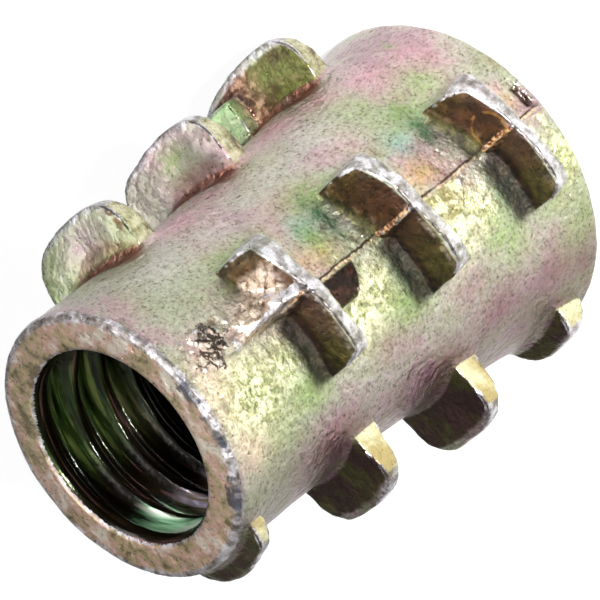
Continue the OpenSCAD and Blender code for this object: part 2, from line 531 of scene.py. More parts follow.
threadRidge = treeMesh("threadRidge", threadTree(), threadForm)
ridgeR = np.hypot(*pointsOf(threadRidge.data)[:, :2].T)
print("thread wound: radius", round(ridgeR.min(), 3), "to", round(ridgeR.max(), 3))


# casting marks: the broken gate with its web, and the lump on the lowest left fin

gateForm = {
    "bottom": 9.1,
    "top": 12.35,
    "stubZ": 11.15,  # where the web leaves the broken stub
    "stubR": 3.6,
    "crestR": 4.6,
    "wall": 0.1,  # the wall on the parting plane
    "ridge": 0.5,
    "shoulder": 0.85,
    "foot": 1.3,
    "inner": 3.2,
    "bodyR": 3.45,
    "hollow": 0.45,  # how high the shoulder stands between body and ridge
    "dip": 0.12,  # of the stub towards the mouth
    "waves": ((0.05, 7.3, 0.0), (0.03, 17.1, 1.0)),  # height, pace and start of the ridge's ripples
}
lumpForm = {
    "angle": 0.0,
    "z": 2.41,
    "tilt": math.radians(15.0),
    "from": 0.8,
    "to": 2.45,
    "inner": 3.3,
    "outer": 4.98,
    "high": 0.95,
    "draft": 0.12,
}


def makeGateWeb():
    form = gateForm
    stations = []
    for z in np.linspace(form["bottom"], form["top"], 60):
        slope = np.clip((form["stubZ"] - z) / (form["stubZ"] - form["bottom"]), 0.0, 1.0)
        top = form["stubR"] + (form["crestR"] - form["stubR"]) * slope
        top -= form["dip"] * smoothStep(form["stubZ"], form["top"], z)
        mid = form["bodyR"] + (top - form["bodyR"]) * form["hollow"]
        wave = sum(high * math.sin(z * pace + start) for high, pace, start in form["waves"])
        ring = [
            (form["wall"], form["inner"]),
            (form["wall"] + 0.02, top - 0.02),
            (form["wall"] + 0.12, top + wave),
            (form["ridge"] + wave, top - 0.07 - wave),
            (form["shoulder"], mid),
            (form["foot"], form["inner"]),
        ]
        stations.append([(x, -math.sqrt(r * r - x * x), z) for x, r in ring])
    points = np.array(stations)
    rows, columns = points.shape[:2]
    faces = []
    for a in range(rows - 1):
        for c in range(columns):
            n = (c + 1) % columns
            faces.append([a * columns + c, a * columns + n, (a + 1) * columns + n, (a + 1) * columns + c])
    faces.append(list(range(columns - 1, -1, -1)))
    faces.append([(rows - 1) * columns + c for c in range(columns)])
    return linkObject("gateWeb", plainMesh("gateWeb", points.reshape(-1, 3), faces))


def makeLump():
    form = lumpForm
    points = []
    for x, draw in ((form["inner"], 0.0), (form["outer"], form["draft"])):
        for y in (form["from"] + draw, form["to"] - 0.6 * draw):
            for z in (0.0, form["high"] - draw):
                points.append((x, y, z))
    faces = [[0, 1, 3, 2], [4, 6, 7, 5], [0, 4, 5, 1], [2, 3, 7, 6], [0, 2, 6, 4], [1, 5, 7, 3]]
    mesh = plainMesh("finLump", points, faces)
    turn = Matrix.Rotation(form["angle"], 4, "Z") @ Matrix.Rotation(form["tilt"], 4, "X")
    mesh.transform(Matrix.Translation((0.0, 0.0, form["z"])) @ turn)
    return linkObject("finLump", mesh)


gateWeb = makeGateWeb()
finLump = makeLump()
print("casting marks added")


# fusing: everything becomes one casting with filled corners and worn edges

fuseForm = {
    "voxel": 0.052,
    "fillSteps": 26,
    "fillRate": 0.6,
    "roundSteps": 5,
    "roundRate": 0.5,
    "boreSteps": 3,
    "normalSteps": 6,  # steps between fresh normals
    "outerR": 3.2,
    "triangles": 190000,
}


def fuseAll(items):
    points, faces, start = [], [], 0
    for item in items:
        mesh = item.data
        points.extend(tuple(p) for p in pointsOf(mesh))
        faces.extend([start + v for v in polygon.vertices] for polygon in mesh.polygons)
        start = len(points)
    whole = linkObject("insertRaw", plainMesh("insertRaw", points, faces))
    skin = whole.modifiers.new("skin", "REMESH")
    skin.mode = "VOXEL"
    skin.voxel_size = fuseForm["voxel"]
    mesh = evaluatedMesh(whole, "insertSkin")
    whole.modifiers.remove(skin)
    bpy.data.objects.remove(whole)
    return mesh


def spread(values, edges, counts):
    total = np.zeros_like(values)
    for k in range(values.shape[1]):
        total[:, k] = np.bincount(edges[:, 0], values[edges[:, 1], k], len(values))
        total[:, k] += np.bincount(edges[:, 1], values[edges[:, 0], k], len(values))
    return total / counts[:, None]


def soften(mesh):
    form = fuseForm
    points, edges = pointsOf(mesh), edgesOf(mesh)
    counts = np.bincount(edges.ravel(), minlength=len(points)).astype(float)
    for step in range(form["fillSteps"]):
        if step % form["normalSteps"] == 0:
            setPoints(mesh, points)
            normals = normalsOf(mesh)
            outer = np.hypot(points[:, 0], points[:, 1]) > form["outerR"]
        pull = spread(points, edges, counts) - points
        lift = np.einsum("ij,ij->i", pull, normals)
        hollow = form["fillRate"] * np.maximum(lift, 0.0) * outer
        high = form["roundRate"] * np.minimum(lift, 0.0) * (step < form["roundSteps"])
        if step < form["boreSteps"]:
            hollow = np.where(outer, hollow, form["roundRate"] * np.maximum(lift, 0.0))
        points += normals * (hollow + high)[:, None]
    setPoints(mesh, points)


# relief: the parting seam, the crumbly gate stub, ejector pads and an uneven skin

reliefForm = {  # a place on the front is given as left, right, low and high
    "seamAt": 0.1,
    "seamWide": 0.07,
    "seamRise": 0.05,
    "backSeamWide": 0.08,
    "overRise": 0.07,  # of the seam over the front fins
    "stub": (0.0, 1.0, 11.0, 12.45),
    "stubRise": 0.05,
    "crumb": 0.12,
    "web": (-0.05, 1.1, 9.5, 11.2),
    "webCrumb": 0.02,
    "pads": ((7.15, 8.9), (3.3, 5.3), (0.2, 1.5)),  # low and high of each, beside the seam
    "padFrom": -0.74,
    "padTo": 0.02,
    "padEnd": 0.45,  # the lower end is rounded by this
    "padRise": 0.1,
    "padLumps": 0.04,
    "notch": (0.22, 0.84, 0.3, 0.48),
    "notchDeep": 0.13,
    "sway": 0.025,
    "ripple": 0.014,
    "grain": 0.0025,
    "bite": 0.02,  # of wear, into crests and rim
    "dish": 0.07,  # hollow at the feet of the left row
    "finWander": 0.045,
}
boreLimit = 3.1  # what lies nearer the axis is bore


def finPlace(points, normals):
    # the nearest fin of each point, and the point and its normal in that fin's own frame
    angle = np.arctan2(points[:, 1], points[:, 0])
    row = np.round((angle - math.pi) / (math.pi / 2)).astype(int) % 4
    best = np.full(len(points), 90.0)
    number = np.zeros(len(points), int)
    local, facing = np.zeros((len(points), 3)), np.zeros((len(points), 3))
    for i, fin in enumerate(finList):
        turn = Matrix.Rotation(fin["angle"], 3, "Z") @ Matrix.Rotation(fin["tilt"], 3, "X")
        turn = np.array(turn)
        own = (points - np.array((0.0, 0.0, fin["z"]))) @ turn
        nearer = (row == i % 4) & (np.abs(own[:, 2]) < best)
        best[nearer] = np.abs(own[nearer, 2])
        number[nearer] = i
        local[nearer] = own[nearer]
        facing[nearer] = (normals @ turn)[nearer]
    return number, local, facing


def acrossFront(points):
    # distance round the skin from the parting plane, to the left as photographed
    return np.hypot(points[:, 0], points[:, 1]) * np.arctan2(points[:, 0], -points[:, 1])


def frontPatch(across, z, limits, softAcross, softHigh):
    left, right, low, high = limits
    return window(across, left, right, softAcross) * window(z, low, high, softHigh)


def bell(x, wide):
    return np.exp(-((x / wide) ** 2))


def padShare(points, soft):
    form = reliefForm
    across = acrossFront(points)
    share = np.zeros(len(points))
    for low, high in form["pads"]:
        end = low + form["padEnd"] * np.clip(across / form["padFrom"], 0.0, 1.0) ** 2
        share = np.maximum(share, window(points[:, 2], end, high, soft))
    return share * window(across, form["padFrom"], form["padTo"], soft)


def seamOffset(points):
    # distance from the seam, which wanders a little over the front fins
    return points[:, 0] - reliefForm["seamAt"] - 0.05 * valueNoise(points, 0.5, 61)


def roughen(mesh):
    form = reliefForm
    points, normals = pointsOf(mesh), normalsOf(mesh)
    x, y, z = points.T.copy()
    radius = np.hypot(x, y)
    height = radius - bodyRadius(z)
    across = acrossFront(points)
    number, local, facing = finPlace(points, normals)
    outer = smoothStep(3.1, 3.3, radius) * window(z, 0.12, 12.8, 0.06)
    skin = outer * (1.0 - smoothStep(0.16, 0.32, height))

    # uneven skin and wear
    lift = form["sway"] * valueNoise(points, 1.3, 3) + form["ripple"] * valueNoise(points, 0.42, 5)
    lift += form["grain"] * valueNoise(points, 0.17, 8)
    lift *= outer
    lift -= form["bite"] * np.abs(valueNoise(points, 0.5, 14)) * (radius > boreLimit)

    # seam down the front and the back, and over the front fins
    seam = bell(across - form["seamAt"], form["seamWide"]) + bell(x, form["backSeamWide"]) * (y > 0)
    lift += form["seamRise"] * seam * skin * (0.75 + 0.45 * valueNoise(points, 0.3, 11))
    ridge = bell(seamOffset(points), form["seamWide"]) * (number % 4 == 1)
    ridge *= smoothStep(0.5, 0.8, facing[:, 2]) * smoothStep(0.05, 0.2, height)
    lift += form["overRise"] * ridge * (0.8 + 0.6 * valueNoise(points, 0.25, 62))

    # crumbs on the gate stub and its web
    crumbs = 0.7 * valueNoise(points, 0.33, 20) + 0.7 * valueNoise(points, 0.19, 21)
    crumbs += 0.35 * valueNoise(points, 0.1, 22)
    stub = frontPatch(across, z, form["stub"], 0.08, 0.1) * outer
    lift += stub * (form["stubRise"] + form["crumb"] * crumbs)
    web = frontPatch(across, z, form["web"], 0.1, 0.15) * smoothStep(0.1, 0.3, height)
    lift += web * form["webCrumb"] * crumbs

    # pads beside the seam and the notch at the rim
    pads = padShare(points, 0.035) * skin
    lift += pads * (form["padRise"] + form["padLumps"] * valueNoise(points, 0.2, 31))
    lift -= form["notchDeep"] * frontPatch(across, z, form["notch"], 0.04, 0.05) * skin
    points += normals * lift[:, None]

    # no paddle is quite flat
    swell = smoothStep(0.15, 0.6, height) * form["finWander"]
    wander = np.stack([valueNoise(points, 0.8, seed) for seed in (41, 42, 43)], -1)
    points += wander * swell[:, None]
    foot = (local[:, 2] > 0.35) & (local[:, 2] < 1.2) & (number % 4 == 2)
    dish = window(local[:, 2], 0.5, 0.95, 0.15) * window(local[:, 1], -0.9, 1.0, 0.4) * skin * foot
    points -= normals * (form["dish"] * dish)[:, None]
    points[:, 2] = np.clip(points[:, 2], 0.0, bodyForm["length"])
    setPoints(mesh, points)


def thinOut(mesh):
    holder = linkObject("insertThin", mesh)
    mesh.calc_loop_triangles()
    thin = holder.modifiers.new("thin", "DECIMATE")
    thin.ratio = min(1.0, fuseForm["triangles"] / len(mesh.loop_triangles))
    thin.use_collapse_triangulate = True
    made = evaluatedMesh(holder, "insertBody")
    holder.modifiers.remove(thin)
    bpy.data.objects.remove(holder)
    return made


rawParts = [bodyTube, finSet, threadRidge, gateWeb, finLump]
castMesh = fuseAll(rawParts)
print("casting fused:", len(castMesh.vertices), "points")
soften(castMesh)
roughen(castMesh)
castMesh = thinOut(castMesh)
print("casting roughened and thinned:", len(castMesh.polygons), "faces")
for part in rawParts + finShapes:
    bpy.data.objects.remove(part)


# masks: where the skin is worn or tinted, and where painted shade and painted highlights lie

# colour patches on the front: film tints, and also painted glints, a painted reflection and painted shade
tintAndLightForm = {  # across, height, half width, half height and strength of each patch on the front
    "pinkTint": [
        (4.0, 8.6, 0.8, 0.9, 1.0), (4.2, 7.4, 0.6, 0.6, 0.9), (4.4, 6.0, 0.8, 0.8, 0.9),
        (4.9, 4.5, 0.9, 0.9, 1.0), (4.3, 3.3, 0.8, 0.6, 0.9), (3.6, 2.3, 0.9, 0.6, 0.9),
        (3.1, 1.2, 0.8, 0.6, 0.8), (2.2, 7.0, 0.45, 0.6, 0.9), (1.7, 7.8, 0.4, 0.5, 0.8),
        (2.7, 12.2, 0.6, 0.4, 0.6), (2.6, 9.3, 0.5, 0.6, 0.7), (2.4, 4.7, 0.5, 0.6, 0.6),
    ],
    # mauve film, dark and wide enough to stand as painted shade on the far side
    "mauveFilmAndShade": [
        (-3.7, 9.6, 0.9, 1.2, 1.0), (-4.6, 5.7, 1.2, 2.0, 1.0), (-3.6, 3.5, 0.8, 1.0, 0.9),
        (-3.8, 1.4, 0.9, 1.0, 0.9), (-2.3, 6.9, 0.5, 0.8, 0.7), (-2.4, 4.4, 0.5, 0.7, 0.7),
        (-5.2, 9.0, 1.2, 2.0, 0.8), (-5.2, 2.5, 1.3, 2.0, 0.8),
    ],
    # painted glint in peach near the mouth right of the seam, with a faint peach patch on the web
    "peachGlint": [
        (-0.5, 12.3, 0.9, 0.45, 1.0), (-1.9, 12.2, 0.6, 0.45, 0.8), (0.5, 10.6, 0.5, 0.5, 0.4),
    ],
    "greenTint": [
        (2.1, 10.7, 0.9, 1.0, 1.0), (3.2, 3.5, 0.6, 0.5, 0.9), (2.5, 1.8, 0.6, 0.5, 0.9),
        (1.8, 8.6, 0.4, 0.5, 0.9), (1.3, 10.2, 0.35, 0.6, 0.8), (2.0, 11.6, 0.8, 0.5, 0.7),
        (-2.3, 11.6, 0.6, 0.7, 0.9), (-1.7, 9.8, 0.5, 0.6, 0.9), (-2.2, 2.6, 0.5, 0.5, 0.9),
        (-1.7, 6.1, 0.4, 0.5, 0.8), (-1.5, 0.8, 0.5, 0.5, 0.8), (3.9, 6.0, 0.5, 0.5, 0.8),
        (-2.9, 0.6, 0.7, 0.6, 0.9), (-2.0, 1.4, 0.4, 0.5, 0.6),
    ],
    # painted glint: the bright band right of the seam, and a spot at the drive end's rim
    "paintedGlint": [
        (-1.0, 11.6, 0.7, 0.9, 1.0), (-0.9, 10.4, 0.5, 0.5, 0.9), (-1.1, 8.0, 0.5, 0.8, 1.0),
        (-0.9, 6.9, 0.5, 0.4, 0.8), (-0.9, 4.5, 0.55, 0.8, 1.0), (-0.9, 3.3, 0.5, 0.4, 0.8),
        (-1.2, 0.5, 0.4, 0.3, 0.8),
    ],
    "warmTint": [
        (0.65, 7.6, 0.35, 0.4, 1.0), (0.6, 8.4, 0.35, 0.3, 0.9), (0.6, 4.1, 0.35, 0.5, 0.9),
        (0.7, 0.9, 0.4, 0.3, 0.7),
    ],
    # painted reflection: dark teal at the feet of the front fins, mirroring their dark mouth sides
    "tealReflection": [
        (1.25, 6.8, 0.6, 0.24, 1.0), (1.35, 3.0, 0.6, 0.24, 1.0), (-0.9, 6.15, 0.55, 0.25, 0.8),
        (-0.9, 2.45, 0.55, 0.25, 0.8), (-0.9, 9.85, 0.5, 0.2, 0.7),
    ],
    "paleTint": [
        (3.0, 10.6, 1.1, 1.0, 0.75), (2.6, 9.0, 0.6, 0.8, 0.6), (3.2, 6.6, 0.7, 1.4, 0.5),
        (3.3, 4.6, 0.6, 0.8, 0.5),
    ],
    "aquaTint": [
        (1.3, 7.45, 0.4, 0.32, 1.0), (1.5, 3.7, 0.35, 0.3, 0.7),
    ],
    "grassTint": [
        (1.9, 6.6, 0.5, 0.7, 0.9), (1.0, 7.45, 0.45, 0.3, 0.8), (2.1, 2.9, 0.5, 0.6, 0.9),
        (-1.6, 6.5, 0.45, 0.5, 0.8), (-1.7, 3.1, 0.45, 0.5, 0.8), (-1.7, 10.2, 0.5, 0.5, 0.8),
        (1.9, 9.4, 0.4, 0.6, 0.7), (-1.5, 11.2, 0.4, 0.4, 0.6),
    ],
}
shadeForm = {  # painted shade: how dark the mouth side of each row is painted, and of two single fins
    "rows": {"right": 0.85, "front": 1.0, "left": 0.3, "back": 0.8},
    "lowLeft": 0.85,
    "lead": 0.6,
}
lowLeftFin, midLeftFin, topLeftFin = 2, 6, 10
markForm = {  # left, right, low and high on the front
    "webTop": (0.0, 1.15, 9.7, 11.3),
    "webRidge": (0.12, 0.42, 9.3, 10.35),
    "crumbAt": (0.44, 11.84),
    "crumb": (-0.62, 0.6, -0.32, 0.26),  # turned aslant about that place
    "crumbTurn": (0.72, 0.69),
    "frontSkin": (0.3, 11.0),
}
footForm = {  # painted shade at the feet of the front fins: fade over height, then limits and softness off the fin's plane and along it
    "footShade": ((0.2, 0.4), (0.2, 0.84, 0.12), (-1.75, -0.02, 0.1)),
    "leftFootShade": ((0.2, 0.26), (0.1, 0.85, 0.14), (0.05, 1.65, 0.1)),
}
boreForm = {  # painted highlights on the thread flanks: degrees round the bore, then heights, each with its softness
    "boreMintGlint": ((128.0, 172.0, 12.0), (11.2, 12.3, 0.1)),
    "boreLilacGlint": ((135.0, 178.0, 12.0), (9.6, 11.2, 0.1)),
}


def bendOf(points, edges, normals):
    # how sharply the skin turns, above nought on outer edges: close up and over a wider reach
    counts = np.bincount(edges.ravel(), minlength=len(points)).astype(float)
    along = points[edges[:, 1]] - points[edges[:, 0]]
    length = np.linalg.norm(along, axis=1) + 1e-9
    turned = np.einsum("ij,ij->i", normals[edges[:, 1]] - normals[edges[:, 0]], along) / length**2
    bend = np.bincount(edges[:, 0], turned, len(points)) + np.bincount(edges[:, 1], turned, len(points))
    bend = (bend / counts)[:, None]
    for step in range(12):
        bend = 0.5 * bend + 0.5 * spread(bend, edges, counts)
        if step == 1:
            close = bend[:, 0].copy()
    return close, bend[:, 0]


def surveySkin(mesh):
    # where each point lies on the body or on its fin, and how it is turned
    points, edges, normals = pointsOf(mesh), edgesOf(mesh), normalsOf(mesh)
    at = SimpleNamespace(points=points, normals=normals, z=points[:, 2], across=acrossFront(points))
    at.bend, at.wideBend = bendOf(points, edges, normals)
    at.radius = np.hypot(points[:, 0], points[:, 1])
    at.angle = np.degrees(np.arctan2(points[:, 1], points[:, 0]))
    at.height = at.radius - bodyRadius(at.z)
    at.inside = (at.radius < boreLimit) & (at.z < bodyForm["length"] - 0.06)
    at.outside = np.where(at.inside, 0.0, 1.0)
    at.skin = at.outside * (1.0 - smoothStep(0.2, 0.36, at.height)) * (points[:, 1] < 0)
    at.number, local, facing = finPlace(points, normals)
    at.along, at.above = local[:, 1], local[:, 2]
    at.faceAlong, at.faceUp = facing[:, 1], facing[:, 2]
    at.right, at.front, at.left = ((at.number % 4 == row) * 1.0 for row in range(3))
    crestR = np.array([fin["crestR"] for fin in finList])[at.number]
    rootR = np.array([fin["rootR"] for fin in finList])[at.number]
    at.rise = (at.radius - rootR) / (crestR - rootR)
    at.onFin = smoothStep(0.06, 0.16, at.height) * (np.abs(at.above) < 1.1) * (at.z < 12.85)
    at.lump = (at.number == lowLeftFin) & (at.along > lumpForm["from"]) & (at.above > 0.5)
    at.near = smoothStep(0.25, 0.5, at.faceUp) * at.onFin * ~at.lump
    return at


def shadeMasks(at):
    # painted shade on the mouth side of the fins and the feet under them, with painted highlight lines at their
    # edges
    shade = np.array([shadeForm["rows"][fin["row"]] for fin in finList])[at.number]
    shade = np.where(at.number == leadFin, shadeForm["lead"], shade)
    shade = np.where(at.number == lowLeftFin, shadeForm["lowLeft"], shade)
    top = smoothStep(0.8 + 0.08 * at.front, 0.9 + 0.06 * at.front, at.rise) * at.onFin
    edge = window(at.faceUp, 0.3, 0.86, 0.12) * smoothStep(0.84, 0.92, at.rise) * at.onFin
    # painted shade in the groove between a fin's mouth side and its crest, and along its end edges
    frontGap = edge * shade * window(at.along, -1.45, 0.7, 0.3) * at.front
    upper = smoothStep(0.3, 0.5, at.faceUp) * at.onFin
    leftGap = window(-at.faceAlong, 0.3, 0.72, 0.1) * window(at.rise, 0.35, 0.95, 0.1) * upper * at.left
    rightGap = window(at.faceAlong, 0.3, 0.72, 0.1) * window(at.rise, 0.1, 0.9, 0.1) * upper * at.right
    # a red-brown crescent under the left fins' roots: the fillet's brown with painted shadow
    crescent = 0.06 + 0.42 * np.clip(1.0 - ((at.along + 0.1) / 1.2) ** 2, 0.0, 1.0)
    footed = at.left * window(at.above, 0.12, 0.95, 0.1) * window(at.along, -1.3, 1.1, 0.1) * at.outside
    # painted highlight: a pale line along the front fins' feet and above the left fins' crescents
    frontRoot = window(at.height, 0.24, 0.29, 0.03) * window(at.above, 0.15, 1.15, 0.1)
    frontRoot *= at.front * (at.along > 0.0)
    olive = np.maximum(0.45 * smoothStep(1.0, 1.7, at.along), smoothStep(0.5, 1.5, -at.along))
    # painted highlight: a pale line along the upper edge of the front fins' mouth sides
    nearEdgeHighlight = window(at.rise, 0.83, 0.89, 0.03) * window(at.along, -1.5, 0.3, 0.2)
    masks = {
        # painted shade over darker film: the mouth sides of the fins darkened row by row
        "nearShade": at.near * shade * (1.0 - top),
        "gapShade": frontGap + leftGap + rightGap,
        "rootShadeBrown": footed * (1.0 - smoothStep(crescent, crescent + 0.04, at.height)),
        "rootHighlight": frontRoot + footed * window(at.height, crescent + 0.02, crescent + 0.07, 0.03),
        "nearEdgeHighlight": at.near * at.front * nearEdgeHighlight,
        "oliveShare": olive * at.front + 0.85 * (at.number == lowLeftFin),
        "nearSeam": bell(seamOffset(at.points), 0.075) * at.near * at.front,
        "redness": at.front * (0.55 + 0.45 * smoothStep(-0.2, 0.3, at.across)),
    }
    for name, (fade, above, along) in footForm.items():
        masks[name] = (1.0 - smoothStep(*fade, at.height)) * window(at.above, *above) * window(at.along, *along)
        masks[name] *= at.front
    return masks


def finMasks(at):
    # crests, fin ends painted brighter where they face the front as painted light, and single fins
    top = smoothStep(0.8 + 0.08 * at.front, 0.9 + 0.06 * at.front, at.rise) * at.onFin
    top *= 1.0 - 0.5 * smoothStep(0.6, 0.9, np.abs(at.faceUp))
    top *= 1.0 - at.right * (1.0 - smoothStep(-0.3, 1.1, at.along))  # the right row is bare at its front corners
    nearHalf = smoothStep(-0.16, 0.02, at.above + 0.1 * smoothStep(0.9, 1.5, np.abs(at.along)))
    top *= 1.0 - 0.75 * at.front * (1.0 - nearHalf)  # the far side of the crest keeps its film
    ends = smoothStep(0.5, 0.8, np.abs(at.faceAlong)) * at.onFin * (1.0 - at.near)
    # painted light: the fin ends are painted paler where they face the front
    frontLight = 0.3 + 0.7 * smoothStep(0.2, 0.5, -at.normals[:, 1])
    middle = np.exp(-(((at.along - 0.1) / 0.7) ** 2) - ((at.rise - 0.55) / 0.32) ** 2)
    isLow, isMid, isTop = (at.number == fin for fin in (lowLeftFin, midLeftFin, topLeftFin))
    pits = window(at.along, -1.35, -0.95, 0.12) * window(at.rise, 0.2, 0.9, 0.12)
    return {
        "edgeWear": smoothStep(1.6, 5.0, at.bend) * smoothStep(0.8, 1.8, at.wideBend) * at.outside,
        # painted shade: concave corners darkened in brown
        "corner": smoothStep(0.9, 2.6, -at.wideBend) * at.outside,
        "crestBand": np.maximum(top, at.front * ends * smoothStep(0.3, 0.6, at.rise)),
        "litFinEnd": ends * (1.0 - at.front) * frontLight,
        "finSide": at.onFin,
        "leftRow": at.left,
        "leftGreen": at.near * (isMid * middle + isTop * (1.0 - middle) * 0.7),
        "leftPink": at.near * (isTop * middle + isMid * (1.0 - middle) * 0.6),
        "endPits": at.near * at.left * pits,
        "lumpTop": at.lump * at.onFin,
        "lowLeft": isLow * 1.0,
        "lowLeftBrown": isLow * smoothStep(-0.1, 0.7, at.along),
    }


def bodyMasks(at):
    # gate, web, pads, the notch painted dark as shade, and painted shade over the far side
    crumbAcross, crumbZ = markForm["crumbAt"]
    aslant, upright = at.across - crumbAcross, at.z - crumbZ
    c, s = markForm["crumbTurn"]
    crumb = frontPatch(c * upright - s * aslant, c * aslant + s * upright, markForm["crumb"], 0.3, 0.24)
    webTop = frontPatch(at.across, at.z, markForm["webTop"], 0.12, 0.12)
    webRidge = frontPatch(at.points[:, 0], at.z, markForm["webRidge"], 0.06, 0.25)
    # the notch at the rim is painted dark as shade in its hollow
    left, right, low, high = reliefForm["notch"]
    notch = frontPatch(at.across, at.z, (left, right, low - 0.05, high + 0.05), 0.05, 0.06)
    pads = padShare(at.points, 0.04) * at.skin
    # painted shade: the skin on the -X side of the body is darkened
    farSide = smoothStep(1.9, 4.8, -at.across) * (1.0 - smoothStep(7.0, 9.5, -at.across))
    return {
        "crumb": crumb * at.outside * at.front,
        "webTop": webTop * smoothStep(0.08, 0.25, at.height) * at.front,
        "webRidge": webRidge * smoothStep(0.35, 0.6, at.height) * at.front,
        "padTop": pads * (0.5 + 0.5 * smoothStep(1.6, 2.4, at.z)),
        "padDark": pads * (at.z > 6.0),
        "frontSkin": at.skin * window(at.z, *markForm["frontSkin"], 0.1),
        "notchShade": notch * at.skin,
        "farSideShade": farSide * at.outside,
    }


def mouthMasks(at):
    # the mouth's face, its edges and the flanks of the thread, some flanks with painted highlights
    flank = smoothStep(0.3, 0.6, at.normals[:, 2]) * at.inside
    scuff = window(at.angle, -146.0, -80.0, 6.0) * window(at.radius, 3.1, 3.5, 0.06)
    masks = {
        "mouthRing": smoothStep(12.8, 12.95, at.z) * smoothStep(0.5, 0.9, at.normals[:, 2]),
        "ringScuff": scuff * smoothStep(12.75, 12.9, at.z),
        "ringEdge": window(at.radius, 3.3, 3.6, 0.05) * smoothStep(12.7, 12.9, at.z),
        "lipEdge": window(at.radius, 2.5, 2.64, 0.05) * smoothStep(12.7, 12.85, at.z),
        "boreGreen": window(at.angle, 34.0, 88.0, 16.0) * flank * smoothStep(8.5, 12.0, at.z),
    }
    for name, (turn, heights) in boreForm.items():
        masks[name] = window(at.angle, *turn) * flank * window(at.z, *heights)
    return masks


def tintAndLightMasks(at):
    masks = {}
    for name, patches in tintAndLightForm.items():
        share = np.zeros(len(at.points))
        for across, z, halfWide, halfHigh, strength in patches:
            away = ((at.across - across) / halfWide) ** 2 + ((at.z - z) / halfHigh) ** 2
            share = np.maximum(share, strength * np.exp(-0.7 * away))
        masks[name] = share * at.outside
    return masks


def markSurface(mesh):
    at = surveySkin(mesh)
    for maker in (shadeMasks, finMasks, bodyMasks, mouthMasks, tintAndLightMasks):
        for name, values in maker(at).items():
            layer = mesh.attributes.new(name, "FLOAT", "POINT")
            layer.data.foreach_set("value", np.clip(values, 0.0, 1.0).astype(np.float32))
    return at.inside


insideBore = markSurface(castMesh)
castMesh.transform(Matrix.Scale(mm, 4))
castMesh.update()
castMesh.shade_smooth()
insertPiece = linkObject("insertPiece", castMesh)
castMesh.materials.clear()
castMesh.materials.append(castFinish)
print("surface marked")


# finish: yellow chromate on rough cast zinc, rubbed to bare metal on the edges, with painted shade and painted
# highlights in its colour


def rgb(red, green, blue):
    # a display colour as the shader wants it
    return tuple((c / 255.0) ** 2.2 for c in (red, green, blue)) + (1.0,)


def newShaderGroup(name, inputs, outputs):
    tree = bpy.data.node_groups.new(name, "ShaderNodeTree")
    tree.interface.new_socket("Vector", in_out="INPUT", socket_type="NodeSocketVector")
    for label, value in inputs:
        kind = "NodeSocketFloat" if isinstance(value, float) else "NodeSocketVector"
        tree.interface.new_socket(label, in_out="INPUT", socket_type=kind).default_value = value
    for label, kind in outputs:
        tree.interface.new_socket(label, in_out="OUTPUT", socket_type=kind)
    return tree, tree.nodes.new("NodeGroupInput").outputs, tree.nodes.new("NodeGroupOutput").inputs


def noiseOf(tree, vector, scale, detail=3.0, rough=0.55, warp=0.0):
    made = addNode(tree, "ShaderNodeTexNoise", [
        ("Vector", vector),
        ("Scale", scale),
        ("Detail", detail),
        ("Roughness", rough),
        ("Distortion", warp),
    ])
    return made.outputs["Fac"]


def blendOf(tree, share, first, second, way="MIX"):
    made = tree.nodes.new("ShaderNodeMix")
    made.data_type = "RGBA"
    made.blend_type = way
    feed(tree, made.inputs[0], share)
    feed(tree, made.inputs[6], first)
    feed(tree, made.inputs[7], second)
    return made.outputs[2]


def rampOf(tree, value, stops):
    made = tree.nodes.new("ShaderNodeValToRGB")
    feed(tree, made.inputs[0], value)
    ramp = made.color_ramp
    while len(ramp.elements) < len(stops):
        ramp.elements.new(1.0)
    for element, (at, colour) in zip(ramp.elements, stops):
        element.position = at
        element.color = colour
    return made.outputs[0]


def spanOf(tree, value, low, high, first=0.0, last=1.0):
    limits = [("From Min", low), ("From Max", high), ("To Min", first), ("To Max", last)]
    made = addNode(tree, "ShaderNodeMapRange", [("Value", value)] + limits, interpolation_type="SMOOTHSTEP")
    return made.outputs["Result"]


def vectorCalc(tree, operation, first, second, output="Vector"):
    made = addNode(tree, "ShaderNodeVectorMath", [(0, first), (1, second)], operation=operation)
    return made.outputs[output]


def weighed(tree, first, share, second, rest):
    return calc(tree, "ADD", calc(tree, "MULTIPLY", first, share), calc(tree, "MULTIPLY", second, rest))


def maskOf(tree, name):
    made = addNode(tree, "ShaderNodeAttribute", attribute_name=name, attribute_type="GEOMETRY")
    return made.outputs["Fac"]


def ragged(tree, name, noise, amount, low, high):
    # a mask with its soft edge torn by noise
    mask = maskOf(tree, name)
    torn = calc(tree, "MULTIPLY_ADD", calc(tree, "SUBTRACT", noise, 0.5), amount, mask)
    return calc(tree, "MULTIPLY", spanOf(tree, torn, low, high), spanOf(tree, mask, 0.0, 0.12))


def coat(tree, under, mask, strength, paint):
    # lays paint over what is under it, where the mask is
    if isinstance(mask, str):
        mask = maskOf(tree, mask)
    return blendOf(tree, calc(tree, "MULTIPLY", mask, strength), under, paint)


def mottled(tree, noise, low, high, pair):
    return blendOf(tree, spanOf(tree, noise, low, high), *pair)


filmColours = [
    (0.20, rgb(116, 108, 86)),
    (0.33, rgb(150, 148, 122)),
    (0.42, rgb(162, 167, 144)),
    (0.50, rgb(168, 167, 155)),
    (0.58, rgb(174, 157, 156)),
    (0.66, rgb(154, 129, 136)),
    (0.75, rgb(138, 150, 118)),
    (0.86, rgb(168, 164, 118)),
]


